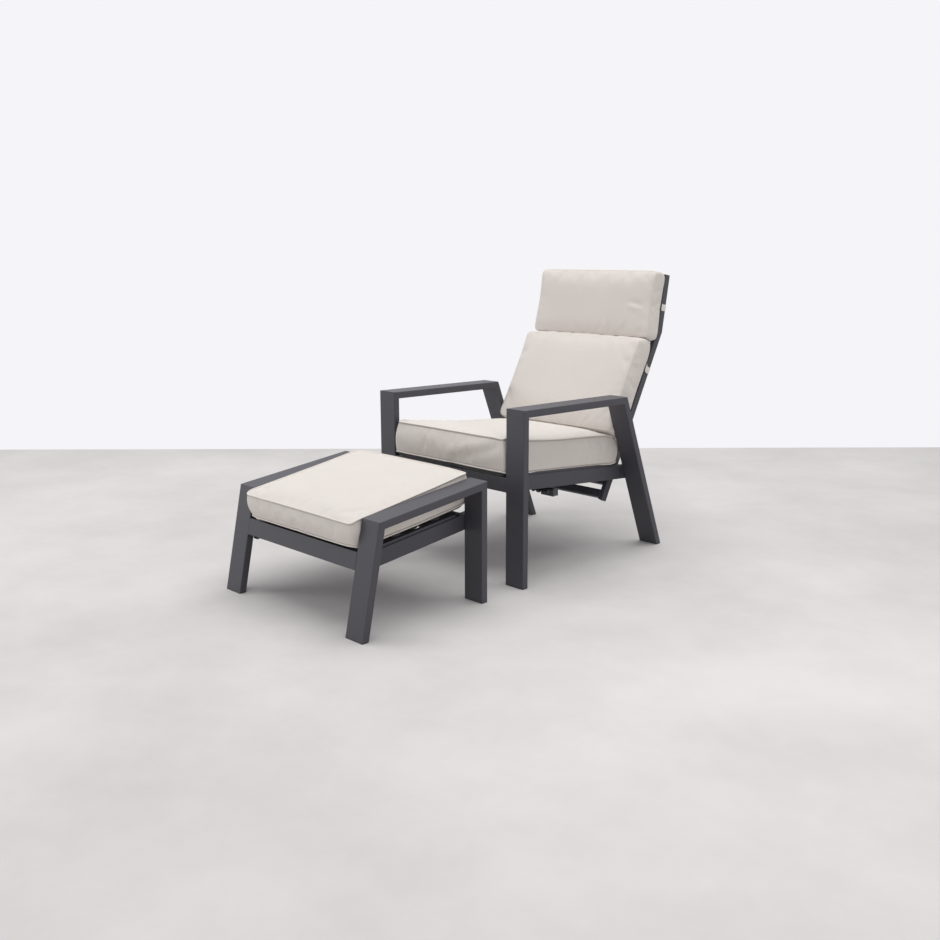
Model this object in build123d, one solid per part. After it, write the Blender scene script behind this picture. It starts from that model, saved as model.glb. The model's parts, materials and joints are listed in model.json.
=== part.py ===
from build123d import *
from math import cos, radians, sin
import os

# Lounge chair with a reclining back, a locking gas spring and a footstool, in millimetres.
# The chair faces -Y and X = 0 is its middle plane, so +X is the sitter's left.
# While it is laid out, Y = 0 is the front of the chair's front legs and Z = 0 is the floor.
# The pieces are written with the origin under the middle of the whole set's box.

# Flat tube of the side loops, the same for the chair and the footstool
overall_width = 720.0
loop_width = 80.0
loop_depth = 25.0
loop_wall = 1.5
tube_corner = 2.5
overrun = 40.0
unit_length = 1.0

# Side loops, by the outer corners of their outline in Y and Z
arm_front_height = 604.4
arm_rear_height = 593.7
arm_length = 554.1
rear_foot_reach = 794.0
stool_outer_foot = -687.8
stool_outer_corner = -613.3
stool_outer_height = 349.2
stool_inner_face = -169.5
stool_inner_height = 400.3

# Plastic feet pushed into the legs
foot_flange = 3.0
foot_plug = 14.0
foot_clearance = 0.1
plug_wall = 2.5

# Seat frame of the chair, laid out along a plane that falls to the rear
seat_rail_height = 371.9
seat_slope = 4.66
rail_thickness = 25.0
rail_depth = 52.0
rail_wall = 1.5
front_rail_depth = 50.0
front_rail_set_back = 5.0
front_rail_rise = -1.2
rear_rail_ahead_of_pivot = 117.6
spring_rail_ahead_of_pivot = 370.1
spring_rail_depth = 40.0

# Slats that carry the cushions
slat_width = 45.0
slat_thickness = 9.0
slat_wall = 1.2
slat_corner = 2.0
slat_inset = 5.0
slat_bar_width = 15.0
seat_slat_count = 7
seat_slat_first = 31.0
last_slat_ahead_of_pivot = 38.1
stool_slat_count = 5

# Reclining back frame, laid out from its pivot along the leaning stiles
pivot_ahead_of_leg = 48.6
pivot_z = 295.5
back_lean_angle = 28.1
head_lean_angle = 10.2
stile_width = 20.0
stile_depth = 28.0
stile_wall = 1.5
stile_gap = 3.0
stile_below_pivot = 119.0
head_stile_length = 216.24
stile_top_height = 1015.9
back_bar_depth = 20.0
lower_bar_depth = 30.0
lower_bar_place = -97.5
middle_bar_place = -49.5
back_slat_count = 5
back_slat_first = 160.0
back_slat_below_kink = 25.4
head_slat_count = 2
head_slat_first = 48.0
head_slat_below_top = 80.2
end_cap_flange = 2.0
end_cap_plug = 12.0

# Recline pivot: a bolt through the seat rail, and a flanged bush in the stile
bolt_radius = 5.0
bolt_head_radius = 9.0
bolt_head_height = 4.5
bolt_head_taper_angle = 26.0
bolt_nut_radius = 8.0
bolt_nut_height = 8.0
bush_radius = 7.0
bush_flange_radius = 11.0
running_clearance = 0.05
side_clearance = 0.1
nut_clearance = 0.4

# Gas spring between the seat frame and the foot of the back frame
spring_inset = 82.0
front_pin_drop = 95.0
rear_pin_drop = 134.0
rear_pin_ahead = 10.0
spring_pin_radius = 4.0
spring_pin_head_radius = 6.5
spring_pin_head_height = 2.5
lug_thickness = 4.0
lug_gap = 28.0
rear_lug_gap = 16.0
lug_radius = 11.0
cylinder_radius = 10.0
cylinder_front_gap = 92.0
cylinder_nose = 6.0
cylinder_nose_radius = 7.0
eye_radius = 11.5
eye_width = 12.0
eye_bore_radius = 7.6
eye_neck = 27.0
eye_neck_radius = 5.0
rod_radius = 5.0
rod_clearance = 0.05
rod_inside = 60.0
stroke_reserve = 56.0
release_head_radius = 13.0
release_head_length = 30.0
release_head_width = 24.0
plunger_radius = 3.0
plunger_length = 5.0

# Release lever: a shaft through the bracket, a finger at the spring and a paddle at the near rail
lever_ahead = 27.0
lever_above = 26.0
lever_shaft_radius = 5.0
lever_shaft_clearance = 0.05
finger_width = 8.0
finger_boss_radius = 8.0
finger_reach = 26.0
finger_half_thickness = 3.0
bearing_inset = 22.0
bearing_thickness = 4.0
bearing_radius = 9.0
paddle_length = 57.0
paddle_side_gap = 1.0
paddle_arm_thickness = 8.0
paddle_boss_radius = 9.0
paddle_near = 18.0
paddle_far = 44.0
paddle_top = 9.0
paddle_rear_top = 5.0
paddle_bottom = 20.5
paddle_round = 5.0
paddle_hollow_radius = 30.0
paddle_hollow_depth = 2.5

# Seat cushion, in the seat frame's plane
cushion_clearance = 0.4
seat_cushion_side_gap = 5.0
seat_cushion_front = -16.0
seat_cushion_ahead_of_pivot = 22.1
seat_cushion_thickness = 104.0
seat_cushion_crown = 18.0
seat_cushion_draw = 6.0
boxing_bulge = 3.0

# Back cushion in two parts, along the lower and the upper stiles
back_cushion_side_gap = 5.0
back_cushion_bottom = 107.2
back_cushion_below_kink = 91.7
back_cushion_thickness = 105.5
back_cushion_crown = 12.0
back_cushion_rear_bulge = 20.3
back_cushion_draw = 5.0
head_cushion_side_gap = 4.0
head_cushion_bottom = -39.1
head_cushion_above_top = 1.7
head_cushion_thickness = 86.6
head_cushion_crown = 13.0

# Footstool frame and cushion, laid out along a plane that rises towards the chair
stool_rails_behind_foot = 37.8
stool_rail_height = 228.3
stool_slope = 6.8
stool_front_rail_depth = 55.0
stool_front_rail_middle = 223.0
stool_rear_rail_inset = 31.9
stool_slat_first = 52.0
stool_last_slat_inset = 58.9
stool_cushion_side_gap = 3.0
stool_cushion_front = 4.0
stool_cushion_overhang = 2.1
stool_cushion_thickness = 90.0
stool_seam_height = 27.0
stool_cushion_crown = 20.0
stool_cushion_draw = 6.0

# Outlines along each cushion: the share of its length, the shares of its thickness at the
# seam of the base and of the face, and the shares of the tilt, the crown and the draw
seat_cushion_shares = [
    (0.0, 0.32, 0.85, 0.0, 0.05, 0.5), (0.011, 0.12, 1.08, 0.0, 0.12, 0.15),
    (0.029, 0.04, 1.16, 0.0, 0.22, 0.0), (0.074, 0.0, 1.15, 0.0, 0.45, 0.2),
    (0.202, 0.0, 1.05, 0.0, 0.85, 0.6), (0.426, 0.0, 0.99, 0.0, 1.0, 1.0),
    (0.667, 0.0, 1.0, 0.0, 0.95, 1.0), (0.875, 0.0, 1.0, 0.0, 0.5, 0.6),
    (0.942, 0.0, 0.94, 0.0, 0.25, 0.2), (0.979, 0.1, 0.83, 0.0, 0.12, 0.3),
    (1.0, 0.34, 0.62, 0.0, 0.05, 0.8)]
back_cushion_shares = [
    (0.0, 0.22, 0.88, 0.0, 0.1, 0.6), (0.03, 0.06, 0.97, 0.0, 0.3, 0.2),
    (0.1, 0.0, 1.0, 0.0, 0.6, 0.1), (0.3, 0.0, 1.0, 0.0, 0.95, 0.7),
    (0.55, 0.0, 1.0, 0.0, 1.0, 1.0), (0.75, 0.0, 1.0, 0.12, 0.9, 0.8),
    (0.87, 0.02, 1.0, 0.4, 0.7, 0.4), (0.945, 0.06, 1.0, 0.75, 0.45, 0.15),
    (0.985, 0.16, 0.985, 0.95, 0.25, 0.1), (1.0, 0.3, 0.94, 1.0, 0.1, 0.3)]
head_cushion_shares = [
    (0.0, 0.52, 1.0, 1.0, 0.3, 0.4), (0.03, 0.3, 1.03, 1.0, 0.5, 0.2),
    (0.1, 0.1, 1.04, 0.8, 0.8, 0.1), (0.25, 0.0, 1.02, 0.3, 0.95, 0.4),
    (0.5, 0.0, 1.0, 0.0, 1.0, 1.0), (0.75, 0.0, 1.0, 0.0, 0.9, 0.8),
    (0.9, 0.0, 1.0, 0.0, 0.6, 0.3), (0.96, 0.05, 0.97, 0.0, 0.35, 0.1),
    (0.99, 0.18, 0.87, 0.0, 0.15, 0.3), (1.0, 0.32, 0.74, 0.0, 0.05, 0.5)]
stool_cushion_shares = [
    (0.0, 0.25, 0.62, 0.0, 0.05, 0.6), (0.015, 0.08, 0.84, 0.0, 0.15, 0.25),
    (0.045, 0.0, 0.93, 0.0, 0.35, 0.0), (0.12, 0.0, 0.95, 0.0, 0.65, 0.2),
    (0.3, 0.0, 0.97, 0.0, 0.95, 0.8), (0.5, 0.0, 1.0, 0.0, 1.0, 1.0),
    (0.7, 0.02, 1.04, 0.0, 1.0, 0.8), (0.88, 0.05, 1.1, 0.0, 1.0, 0.2),
    (0.955, 0.1, 1.12, 0.0, 0.8, 0.0), (0.985, 0.16, 1.05, 0.0, 0.45, 0.25),
    (1.0, 0.34, 0.84, 0.0, 0.15, 0.6)]

half_width = overall_width / 2
inner_half_width = half_width - loop_width
rail_inner_face = inner_half_width - rail_thickness
stile_outer_face = rail_inner_face - stile_gap
stile_inner_face = stile_outer_face - stile_width
spring_side = spring_inset - stile_inner_face
paddle_outer_face = inner_half_width - paddle_side_gap
paddle_inner_face = paddle_outer_face - paddle_length
bearing_place = paddle_inner_face - bearing_inset
seat_cushion_half_width = inner_half_width - seat_cushion_side_gap
back_cushion_half_width = inner_half_width - back_cushion_side_gap
head_cushion_half_width = inner_half_width - head_cushion_side_gap
stool_cushion_half_width = inner_half_width - stool_cushion_side_gap

# Places along the frames that follow from the side loops and the stiles
leg_share = (arm_rear_height - pivot_z) / arm_rear_height
pivot_y = arm_length + (rear_foot_reach - arm_length) * leg_share - pivot_ahead_of_leg
pivot_drop = seat_rail_height - pivot_z
pivot_place = pivot_y * cos(radians(seat_slope)) + pivot_drop * sin(radians(seat_slope))
rear_rail_place = pivot_place - rear_rail_ahead_of_pivot
spring_rail_place = pivot_place - spring_rail_ahead_of_pivot
seat_slat_last = pivot_place - last_slat_ahead_of_pivot
seat_cushion_rear = pivot_place - seat_cushion_ahead_of_pivot
head_stile_height = head_stile_length * cos(radians(head_lean_angle))
stile_kink = (stile_top_height - pivot_z - head_stile_height) / cos(radians(back_lean_angle))
back_slat_last = stile_kink - back_slat_below_kink
head_slat_last = head_stile_length - head_slat_below_top
back_cushion_top = stile_kink - back_cushion_below_kink
head_cushion_top = head_stile_length + head_cushion_above_top
stool_origin_y = stool_outer_foot + stool_rails_behind_foot
stool_reach = (stool_inner_face - stool_origin_y) / cos(radians(stool_slope))
stool_rear_rail_place = stool_reach - stool_rear_rail_inset
stool_slat_last = stool_reach - stool_last_slat_inset
stool_cushion_rear = stool_reach + stool_cushion_overhang


def in_plane(y, z, x=0):
    """A point or a direction from its place in a side view."""
    return Vector(x, y, z)


def leaning(angle):
    """Unit vectors up along a stile that leans back by an angle, and out of its front face."""
    lean = radians(angle)
    return in_plane(sin(lean), cos(lean)), in_plane(-cos(lean), sin(lean))


def seat_point(along, above, x=0):
    """A point by its place along the falling seat rails and above their top face."""
    return in_plane(0, seat_rail_height, x) + seat_along * along + seat_up * above


def stool_point(along, above, x=0):
    """A point by its place along the rising footstool rails and above their top face."""
    return in_plane(stool_origin_y, stool_rail_height, x) + stool_along * along + stool_up * above


def back_point(above, ahead, x=0):
    """A point by its place up the stile from the pivot and ahead of the stile's centre line."""
    return in_plane(pivot_y, pivot_z, x) + back_up * above + back_front * ahead


def head_point(above, ahead, x=0):
    """A point by its place up the upper stile from the kink and ahead of its centre line."""
    return back_point(stile_kink, 0, x) + head_up * above + head_front * ahead


seat_along = in_plane(cos(radians(seat_slope)), -sin(radians(seat_slope)))
seat_up = in_plane(sin(radians(seat_slope)), cos(radians(seat_slope)))
stool_along = in_plane(cos(radians(stool_slope)), sin(radians(stool_slope)))
stool_up = in_plane(-sin(radians(stool_slope)), cos(radians(stool_slope)))
back_up, back_front = leaning(back_lean_angle)
head_up, head_front = leaning(head_lean_angle)
sideways = Vector(1, 0, 0)
upwards = Vector(0, 0, 1)
front_pin = seat_point(spring_rail_place, -front_pin_drop)
rear_pin = back_point(-rear_pin_drop, rear_pin_ahead)
spring_axis = (rear_pin - front_pin).normalized()
spring_length = (rear_pin - front_pin).length
lever_axis = seat_point(spring_rail_place - lever_ahead, -front_pin_drop + lever_above)


def mitre(corner, kept, other):
    """The plane through a corner that halves the angle between two tubes, facing the other one."""
    return Plane(origin=corner, z_dir=other - kept)


def bar(start, end, across, outline, cuts=()):
    """A solid bar of an outline from one point to another, cut by planes that face outwards."""
    axis = (end - start).normalized()
    section = Plane(origin=start - axis * overrun, x_dir=across, z_dir=axis)
    solid = extrude(section * outline, (end - start).length + 2 * overrun)
    for cut in cuts:
        solid = split(solid, bisect_by=cut, keep=Keep.BOTTOM)
    return solid


def tube(start, end, across, width, depth, wall, corner, cuts=()):
    """A hollow rounded tube from one point to another, cut by planes that face outwards."""
    outline = RectangleRounded(width, depth, corner) - Rectangle(width - 2 * wall, depth - 2 * wall)
    return bar(start, end, across, outline, cuts)


def square_ends(start, end):
    """Planes square to a line at both its ends, facing outwards."""
    axis = (end - start).normalized()
    return [Plane(origin=start, z_dir=-axis), Plane(origin=end, z_dir=axis)]


def cross_tube(middle, half_length, up, width, depth, wall, corner):
    """A straight tube across the frame, with its depth along a given direction."""
    start = middle - sideways * half_length
    end = middle + sideways * half_length
    across = up.cross(sideways)
    return tube(start, end, across, width, depth, wall, corner, square_ends(start, end))


def round_bar(middle, low_x, high_x, radius):
    """A cylinder along X about a point of the side view."""
    base = Plane(origin=middle + sideways * low_x, z_dir=sideways)
    return extrude(base * Circle(radius), high_x - low_x)


def cheek(outline, low_x, high_x):
    """A plate along X from an outline that is drawn in Y and Z."""
    base = Plane(origin=sideways * low_x, x_dir=in_plane(1, 0), z_dir=sideways)
    return extrude(base * outline, high_x - low_x)


def spot(point):
    """A point of the side view as a place on a cheek's outline."""
    return (point.Y, point.Z)


def disc(point, radius):
    """A disc on a cheek's outline."""
    return Pos(point.Y, point.Z) * Circle(radius)


def link(first, second, first_radius, second_radius):
    """The outline of a plate round two points, straight between them."""
    axis = (second - first).normalized()
    side = sideways.cross(axis)
    corners = [first + side * first_radius, second + side * second_radius,
               second - side * second_radius, first - side * first_radius]
    plate = make_face(Polyline(*[spot(corner) for corner in corners], close=True))
    return plate + disc(first, first_radius) + disc(second, second_radius)


# Side loops


def loop(corners, side, names):
    """Two legs and an arm with mitred corners and plastic feet, from the outline's outer corners."""
    centre_x = side * (half_width - loop_width / 2)
    outline = [in_plane(y, z, centre_x) for y, z in corners]
    runs = [(outline[i + 1] - outline[i]).normalized() for i in range(len(outline) - 1)]
    centres = []
    for index, run in enumerate(runs):
        inward = run.cross(sideways) * (loop_depth / 2)
        centres.append((outline[index] + inward, outline[index + 1] + inward))
    first_corner = [mitre(outline[1], -runs[0], runs[1]), mitre(outline[1], runs[1], -runs[0])]
    second_corner = [mitre(outline[2], -runs[1], runs[2]), mitre(outline[2], runs[2], -runs[1])]
    floor = Plane(origin=upwards * foot_flange, z_dir=-upwards)
    cuts = [[floor, first_corner[0]], [first_corner[1], second_corner[0]], [second_corner[1], floor]]
    pieces = {}
    for name, (start, end), planes in zip(names, centres, cuts):
        pieces[name] = tube(start, end, sideways, loop_width, loop_depth, loop_wall, tube_corner, planes)
    for name, (start, end) in ((names[0], centres[0]), (names[2], centres[2])):
        pieces[name.replace("leg", "foot")] = foot(start, end)
    return pieces


def foot(start, end):
    """A foot: a flange as large as the slanted end of the leg, and a hollow plug inside it."""
    base = Plane(origin=Vector(0, 0, 0), z_dir=-upwards)
    flange_top = Plane(origin=upwards * foot_flange, z_dir=upwards)
    flange = bar(start, end, sideways, RectangleRounded(loop_width, loop_depth, tube_corner), [base, flange_top])
    plug_base = Plane(origin=upwards * foot_flange, z_dir=-upwards)
    plug_top = Plane(origin=upwards * (foot_flange + foot_plug), z_dir=upwards)
    plug_width = loop_width - 2 * (loop_wall + foot_clearance)
    plug_depth = loop_depth - 2 * (loop_wall + foot_clearance)
    plug = Rectangle(plug_width, plug_depth) - Rectangle(plug_width - 2 * plug_wall, plug_depth - 2 * plug_wall)
    return flange + bar(start, end, sideways, plug, [plug_base, plug_top])


def side_loops():
    """The four mitred loops of the chair and the footstool, with their feet."""
    chair = [(0, 0), (0, arm_front_height), (arm_length, arm_rear_height), (rear_foot_reach, 0)]
    stool = [(stool_outer_foot, 0), (stool_outer_corner, stool_outer_height),
             (stool_inner_face, stool_inner_height), (stool_inner_face, 0)]
    pieces = {}
    for side, word in ((1, "left"), (-1, "right")):
        pieces.update(loop(chair, side, [word + "_front_leg", word + "_armrest", word + "_rear_leg"]))
        pieces.update(loop(stool, side, ["stool_" + word + "_outer_leg", "stool_" + word + "_arm",
                                         "stool_" + word + "_inner_leg"]))
    return pieces


# Seat frame of the chair


def seat_frame():
    """The rails, cross rails and slats between the side loops of the chair."""
    pieces = {}
    rear_run = in_plane(rear_foot_reach - arm_length, -arm_rear_height).normalized()
    rear_face = Plane(origin=in_plane(arm_length, arm_rear_height), z_dir=-rear_run.cross(sideways))
    front_rail_rear = front_rail_set_back + rail_thickness
    for side, word in ((1, "left"), (-1, "right")):
        x = side * (inner_half_width - rail_thickness / 2)
        start = seat_point(front_rail_rear, -rail_depth / 2, x)
        end = seat_point(rear_foot_reach, -rail_depth / 2, x)
        front_face = Plane(origin=start, z_dir=-seat_along)
        size = (sideways, rail_thickness, rail_depth)
        rail = tube(start, end, *size, rail_wall, tube_corner, [front_face, rear_face])
        inside_end = Plane(origin=rear_face.origin - rear_face.z_dir * rail_wall, z_dir=-rear_face.z_dir)
        end_plate = Rectangle(rail_thickness - 2 * rail_wall, rail_depth - 2 * rail_wall)
        rail += bar(start, end, sideways, end_plate, [inside_end, rear_face])
        rail -= round_bar(in_plane(pivot_y, pivot_z), x - rail_thickness, x + rail_thickness,
                          bolt_radius + running_clearance)
        pieces[word + "_seat_rail"] = rail
    middle = seat_point(front_rail_set_back + rail_thickness / 2, front_rail_rise - front_rail_depth / 2)
    pieces["front_seat_rail"] = cross_tube(middle, inner_half_width, seat_up, rail_thickness,
                                           front_rail_depth, rail_wall, tube_corner)
    middle = seat_point(rear_rail_place, -rail_depth / 2)
    pieces["rear_seat_rail"] = cross_tube(middle, rail_inner_face, seat_up, rail_thickness,
                                          rail_depth, rail_wall, tube_corner)
    middle = seat_point(spring_rail_place, -spring_rail_depth / 2)
    pieces["spring_rail"] = cross_tube(middle, rail_inner_face, seat_up, rail_thickness,
                                       spring_rail_depth, rail_wall, tube_corner)
    pieces["seat_slats"] = slats(seat_point, seat_up, seat_slat_first, seat_slat_last, seat_slat_count)
    return pieces


def even_places(first, last, count):
    """Evenly spaced places from the first to the last."""
    return [first + (last - first) * index / (count - 1) for index in range(count)]


def slats(point, up, first, last, count):
    """Evenly spaced flat tubes between two side bars that lie on top of the side rails."""
    bar_inner_face = inner_half_width - slat_inset - slat_bar_width
    hollow = Rectangle(slat_bar_width - 2 * slat_wall, slat_thickness - 2 * slat_wall)
    side_bar = Rectangle(slat_bar_width, slat_thickness) - hollow
    group = []
    for place in even_places(first + slat_width / 2, last - slat_width / 2, count):
        middle = point(place, slat_thickness / 2)
        group.append(cross_tube(middle, bar_inner_face, up, slat_width, slat_thickness, slat_wall,
                                slat_corner))
    for side in (1, -1):
        x = side * (bar_inner_face + slat_bar_width / 2)
        start = point(first, slat_thickness / 2, x)
        end = point(last, slat_thickness / 2, x)
        group.append(bar(start, end, sideways, side_bar, square_ends(start, end)))
    return Compound(group)


# Reclining back frame


def stile(side):
    """A bent stile: a lower run from below the pivot to the kink, and an upright run to the top."""
    x = side * (stile_inner_face + stile_width / 2)
    bottom = back_point(-stile_below_pivot + end_cap_flange, 0, x)
    kink = back_point(stile_kink, 0, x)
    top = head_point(head_stile_length - end_cap_flange, 0, x)
    bend = back_up + head_up
    size = (sideways, stile_width, stile_depth, stile_wall, tube_corner)
    lower = tube(bottom, kink, *size, [Plane(origin=bottom, z_dir=-back_up), Plane(origin=kink, z_dir=bend)])
    upper = tube(kink, top, *size, [Plane(origin=kink, z_dir=-bend), Plane(origin=top, z_dir=head_up)])
    pivot = in_plane(pivot_y, pivot_z)
    return lower + upper - round_bar(pivot, x - stile_width, x + stile_width, bush_radius)


def stile_cap(end, outward, side):
    """A plastic cap in the open end of a stile."""
    x = side * (stile_inner_face + stile_width / 2)
    place = end + sideways * x
    flange_base = place - outward * end_cap_flange
    flange = bar(flange_base, place, sideways, RectangleRounded(stile_width, stile_depth, tube_corner),
                 square_ends(flange_base, place))
    plug_end = flange_base - outward * end_cap_plug
    plug = Rectangle(stile_width - 2 * (stile_wall + foot_clearance),
                     stile_depth - 2 * (stile_wall + foot_clearance))
    return flange + bar(plug_end, flange_base, sideways, plug, square_ends(plug_end, flange_base))


def back_frame():
    """Two stiles with their caps, three cross bars and the slats behind the cushion."""
    pieces = {}
    for side, word in ((1, "left"), (-1, "right")):
        pieces[word + "_back_stile"] = stile(side)
        pieces[word + "_top_cap"] = stile_cap(head_point(head_stile_length, 0), head_up, side)
        pieces[word + "_bottom_cap"] = stile_cap(back_point(-stile_below_pivot, 0), -back_up, side)
    bar_size = (stile_depth, back_bar_depth, stile_wall, tube_corner)
    lower = back_point(lower_bar_place, 0)
    pieces["lower_back_bar"] = cross_tube(lower, stile_inner_face, back_up, stile_depth,
                                          lower_bar_depth, stile_wall, tube_corner)
    middle = back_point(middle_bar_place, 0)
    pieces["middle_back_bar"] = cross_tube(middle, stile_inner_face, back_up, *bar_size)
    top = head_point(head_stile_length - back_bar_depth / 2, 0)
    pieces["top_back_bar"] = cross_tube(top, stile_inner_face, head_up, *bar_size)
    ahead = (stile_depth - slat_thickness) / 2
    group = []
    for place in even_places(back_slat_first, back_slat_last, back_slat_count):
        group.append(cross_tube(back_point(place, ahead), stile_inner_face, back_front, slat_width,
                                slat_thickness, slat_wall, slat_corner))
    for place in even_places(head_slat_first, head_slat_last, head_slat_count):
        group.append(cross_tube(head_point(place, ahead), stile_inner_face, head_front, slat_width,
                                slat_thickness, slat_wall, slat_corner))
    pieces["back_slats"] = Compound(group)
    return pieces


def recline_pivot(side, word):
    """The bolt and nut through a seat rail, and the flanged bush that turns on the bolt."""
    pivot = in_plane(pivot_y, pivot_z)
    nut_face = stile_inner_face - nut_clearance
    bolt = round_bar(pivot, nut_face - bolt_nut_height, inner_half_width, bolt_radius)
    head_base = Plane(origin=pivot + sideways * inner_half_width, z_dir=sideways)
    head = extrude(head_base * Circle(bolt_head_radius), bolt_head_height, taper=bolt_head_taper_angle)
    nut_base = Plane(origin=pivot + sideways * (nut_face - bolt_nut_height), z_dir=sideways)
    nut = extrude(nut_base * RegularPolygon(bolt_nut_radius, 6), bolt_nut_height)
    bolt = bolt + head + nut
    bush = round_bar(pivot, stile_inner_face, stile_outer_face, bush_radius)
    bush += round_bar(pivot, stile_outer_face, rail_inner_face - side_clearance, bush_flange_radius)
    bush -= round_bar(pivot, stile_inner_face - stile_width, rail_inner_face + stile_width,
                      bolt_radius + running_clearance)
    if side < 0:
        bolt = mirror(bolt, about=Plane.YZ)
        bush = mirror(bush, about=Plane.YZ)
    return {word + "_pivot_bolt": bolt, word + "_pivot_bush": bush}


# Gas spring and its release lever


def clevis_pin(middle, half_span):
    """A pin with a head at each end, through the two lugs of a bracket."""
    pin = round_bar(middle, -half_span, half_span, spring_pin_radius)
    pin += round_bar(middle, half_span, half_span + spring_pin_head_height, spring_pin_head_radius)
    pin += round_bar(middle, -half_span - spring_pin_head_height, -half_span, spring_pin_head_radius)
    return pin


def paired_lugs(outline, gap):
    """Two equal lugs either side of the middle plane."""
    near = cheek(outline, gap / 2, gap / 2 + lug_thickness)
    return near + cheek(outline, -gap / 2 - lug_thickness, -gap / 2)


def front_bracket():
    """Two lugs under the spring rail with holes for the front pin and for the lever shaft."""
    rail_front = seat_point(spring_rail_place - rail_thickness / 2, -spring_rail_depth)
    rail_rear = seat_point(spring_rail_place + rail_thickness / 2, -spring_rail_depth)
    low_front = front_pin - seat_along * lug_radius
    low_rear = front_pin + seat_along * lug_radius
    web = make_face(Polyline(spot(rail_front), spot(rail_rear), spot(low_rear), spot(low_front), close=True))
    ear = make_face(Polyline(spot(rail_front), spot(rail_rear), spot(lever_axis + seat_along * bearing_radius),
                             spot(lever_axis - seat_along * bearing_radius), close=True))
    outline = web + ear + disc(front_pin, lug_radius) + disc(lever_axis, bearing_radius)
    outline -= disc(front_pin, spring_pin_radius)
    outline -= disc(lever_axis, lever_shaft_radius + lever_shaft_clearance)
    lugs = paired_lugs(outline, lug_gap)
    plate_start = seat_point(spring_rail_place, -spring_rail_depth - lug_thickness / 2)
    plate = cross_plate(plate_start, lug_gap / 2, rail_thickness, lug_thickness)
    return lugs + plate


def cross_plate(middle, half_length, width, thickness):
    """A plate across the middle plane, flat against the underside of the spring rail."""
    start = middle - sideways * half_length
    end = middle + sideways * half_length
    section = Plane(origin=start, x_dir=seat_along, z_dir=sideways)
    return extrude(section * Rectangle(width, thickness), (end - start).length)


def rear_lugs():
    """Two lugs under the lower bar of the back frame, with holes for the rear pin."""
    base = lower_bar_place - lower_bar_depth / 2
    bar_front = back_point(base, stile_depth / 2)
    bar_rear = back_point(base, -stile_depth / 2)
    low_front = rear_pin + back_front * lug_radius
    low_rear = rear_pin - back_front * lug_radius
    web = make_face(Polyline(spot(bar_front), spot(bar_rear), spot(low_rear), spot(low_front), close=True))
    outline = web + disc(rear_pin, lug_radius) - disc(rear_pin, spring_pin_radius)
    return paired_lugs(outline, rear_lug_gap)


def along_spring(start, length, radius):
    """A cylinder on the gas spring's axis, from a distance behind the front pin."""
    base = Plane(origin=front_pin + spring_axis * start, z_dir=spring_axis)
    return extrude(base * Circle(radius), length)


def release_head():
    """The head on the front pin: a rounded block with the plunger on its front face."""
    side = sideways.cross(spring_axis) * release_head_radius
    rear = front_pin + spring_axis * (release_head_length - release_head_radius)
    block = make_face(Polyline(spot(front_pin + side), spot(rear + side), spot(rear - side),
                               spot(front_pin - side), close=True))
    outline = block + disc(front_pin, release_head_radius)
    outline -= disc(front_pin, spring_pin_radius + running_clearance)
    head = cheek(outline, -release_head_width / 2, release_head_width / 2)
    head -= along_spring(rod_seat(), release_head_length, rod_radius + rod_clearance)
    plunger = along_spring(-release_head_radius - plunger_length, plunger_length + plunger_radius,
                           plunger_radius)
    return head + plunger


def rod_seat():
    """How far behind the front pin the rod is screwed into its head."""
    return (release_head_radius + spring_pin_radius) / 2


def gas_spring():
    """The spring's brackets, pins, head, rod and cylinder, whose eye sits round the rear pin."""
    pieces = {"spring_release_head": release_head(), "front_spring_bracket": front_bracket(),
              "rear_spring_lugs": rear_lugs()}
    pieces["front_spring_pin"] = clevis_pin(front_pin, lug_gap / 2 + lug_thickness)
    pieces["rear_spring_pin"] = clevis_pin(rear_pin, rear_lug_gap / 2 + lug_thickness)
    pieces["spring_rod"] = along_spring(rod_seat(), cylinder_front_gap + rod_inside - rod_seat(), rod_radius)
    cylinder_length = spring_length - eye_neck - cylinder_front_gap
    nose_start = cylinder_front_gap - cylinder_nose
    cylinder = along_spring(cylinder_front_gap, cylinder_length, cylinder_radius)
    cylinder += along_spring(nose_start, cylinder_nose, cylinder_nose_radius)
    cylinder += along_spring(cylinder_front_gap + cylinder_length, eye_neck, eye_neck_radius)
    cylinder += round_bar(rear_pin, -eye_width / 2, eye_width / 2, eye_radius)
    cylinder -= round_bar(rear_pin, -eye_width, eye_width, eye_bore_radius)
    hollow_length = rod_inside + cylinder_nose + stroke_reserve
    cylinder -= along_spring(nose_start, hollow_length, rod_radius + rod_clearance)
    pieces["spring_cylinder"] = cylinder
    return {name: Pos(spring_side) * piece for name, piece in pieces.items()}


def release_lever():
    """The shaft with its finger, the bearing under the spring rail and the paddle."""
    finger_tip = lever_axis - upwards * finger_reach
    finger = cheek(link(lever_axis, finger_tip, finger_boss_radius, finger_half_thickness),
                   spring_side - finger_width / 2, spring_side + finger_width / 2)
    shaft_start = spring_side - lug_gap / 2 - 2 * lug_thickness
    shaft = round_bar(lever_axis, shaft_start, paddle_outer_face - paddle_arm_thickness, lever_shaft_radius)
    pieces = {"release_shaft": shaft + finger}
    rail_front = seat_point(spring_rail_place - rail_thickness / 2, -spring_rail_depth)
    rail_rear = seat_point(spring_rail_place + rail_thickness / 2, -spring_rail_depth)
    web = make_face(Polyline(spot(rail_front), spot(rail_rear), spot(lever_axis + seat_along * bearing_radius),
                             spot(lever_axis - seat_along * bearing_radius), close=True))
    outline = web + disc(lever_axis, bearing_radius)
    outline -= disc(lever_axis, lever_shaft_radius + lever_shaft_clearance)
    pieces["lever_bearing"] = cheek(outline, bearing_place, bearing_place + bearing_thickness)
    pieces["release_paddle"] = paddle()
    return pieces


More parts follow.
